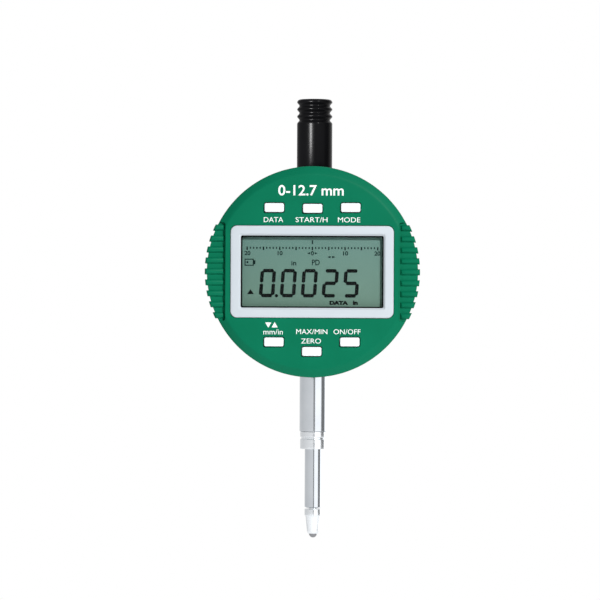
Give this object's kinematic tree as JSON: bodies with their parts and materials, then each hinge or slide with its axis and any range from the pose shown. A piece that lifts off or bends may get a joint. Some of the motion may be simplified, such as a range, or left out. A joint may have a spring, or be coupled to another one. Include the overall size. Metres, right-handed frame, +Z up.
{
  "type": "dial indicator",
  "caption": "Round digital dial indicator: a sprung measuring spindle slides through a plain clamping stem below a ribbed case with display, keys and a lug back.",
  "frame": {"origin": "on the spindle axis, within 0.2 mm of half way along the clamping length of the 8 mm stem", "axes": "+Z up along the spindle from the contact point to the lifting cap, -Y out of the display, +X to the right of a person reading it"},
  "size_m": [0.061, 0.0386, 0.126],
  "materials": {
    "green_abs": "injection moulded, satin",
    "cast_aluminium": "die cast, fine blasted",
    "grey_bezel": "moulded, satin",
    "clear_acrylic": "clear, polished",
    "lcd_glass": "polarised display glass",
    "dark_plastic": "moulded, fine texture",
    "silicone": "moulded silicone",
    "circuit_board": "solder mask over copper",
    "polyimide_film": "thin film",
    "nickel_steel": "nickel plated",
    "polished_steel": "ground and polished",
    "satin_steel": "turned and satin polished",
    "carbide": "lapped carbide",
    "bronze": "sintered bronze",
    "black_cap": "gloss moulded",
    "white_key": "moulded, satin"
  },
  "bodies": {
    "housing": {"front_shell": "green_abs", "rear_shell": "green_abs", "back_plate": "cast_aluminium", "window_frame": "grey_bezel", "window_lens": "clear_acrylic", "data_socket": "dark_plastic", "stem": "polished_steel", "stem_bush": "satin_steel", "upper_guide_tube": "polished_steel", "lcd_panel": "lcd_glass", "lcd_frame": "dark_plastic", "contact_strip_upper": "silicone", "contact_strip_lower": "silicone", "keypad_upper": "silicone", "keypad_lower": "silicone", "main_board": "circuit_board", "processor_chip": "dark_plastic", "sensor_board": "circuit_board", "flex_cable": "polyimide_film", "battery_holder": "dark_plastic", "battery_cell": "nickel_steel", "battery_spring": "nickel_steel", "battery_clip": "nickel_steel", "battery_seal": "silicone", "chassis": "cast_aluminium", "guide_rail": "bronze", "spring_post": "nickel_steel", "return_spring": "nickel_steel", "lower_guide_bush": "bronze", "upper_guide_bush": "bronze", "back_screw_1": "nickel_steel", "back_screw_2": "nickel_steel", "back_screw_3": "nickel_steel", "back_screw_4": "nickel_steel", "board_screw_1": "nickel_steel", "board_screw_2": "nickel_steel", "board_screw_3": "nickel_steel", "board_screw_4": "nickel_steel", "chassis_screw_1": "nickel_steel", "chassis_screw_2": "nickel_steel", "chassis_screw_3": "nickel_steel", "chassis_screw_4": "nickel_steel"},
    "measuring_spindle": {"spindle": "polished_steel", "contact_point": "satin_steel", "contact_ball": "carbide", "lifting_cap": "black_cap", "spindle_carrier": "cast_aluminium", "carrier_screw": "nickel_steel", "scale_strip": "lcd_glass", "guide_pin": "nickel_steel", "stop_washer": "silicone"},
    "data_key": {"button_data": "white_key"},
    "hold_key": {"button_hold": "white_key"},
    "mode_key": {"button_mode": "white_key"},
    "units_key": {"button_units": "white_key"},
    "zero_key": {"button_zero": "white_key"},
    "power_key": {"button_power": "white_key"},
    "battery_door": {"battery_cover": "dark_plastic"},
    "port_plug": {"port_cover": "dark_plastic"}
  },
  "joints": [
    {"name": "spindle_lift", "type": "slide", "parent": "housing", "child": "measuring_spindle", "axis": [0, 0, 1], "range_m": [0, 0.0127], "stiffness_N_per_m": 30, "springref_m": -0.03, "deforming": ["return_spring"]},
    {"name": "data_press", "type": "slide", "parent": "housing", "child": "data_key", "axis": [0, 1, 0], "range_m": [0, 0.0005], "stiffness_N_per_m": 1500, "springref_m": -0.0004},
    {"name": "hold_press", "type": "slide", "parent": "housing", "child": "hold_key", "axis": [0, 1, 0], "range_m": [0, 0.0005], "stiffness_N_per_m": 1500, "springref_m": -0.0004},
    {"name": "mode_press", "type": "slide", "parent": "housing", "child": "mode_key", "axis": [0, 1, 0], "range_m": [0, 0.0005], "stiffness_N_per_m": 1500, "springref_m": -0.0004},
    {"name": "units_press", "type": "slide", "parent": "housing", "child": "units_key", "axis": [0, 1, 0], "range_m": [0, 0.0005], "stiffness_N_per_m": 1500, "springref_m": -0.0004},
    {"name": "zero_press", "type": "slide", "parent": "housing", "child": "zero_key", "axis": [0, 1, 0], "range_m": [0, 0.0005], "stiffness_N_per_m": 1500, "springref_m": -0.0004},
    {"name": "power_press", "type": "slide", "parent": "housing", "child": "power_key", "axis": [0, 1, 0], "range_m": [0, 0.0005], "stiffness_N_per_m": 1500, "springref_m": -0.0004},
    {"name": "battery_door_turn", "type": "hinge", "parent": "housing", "child": "battery_door", "pos_m": [-0.0158, 0.009, 0.03765], "axis": [0, 1, 0], "range_deg": [0, 45]},
    {"name": "port_plug_pull", "type": "slide", "parent": "housing", "child": "port_plug", "axis": [1, 0, 0], "range_m": [0, 0.01]}
  ]
}
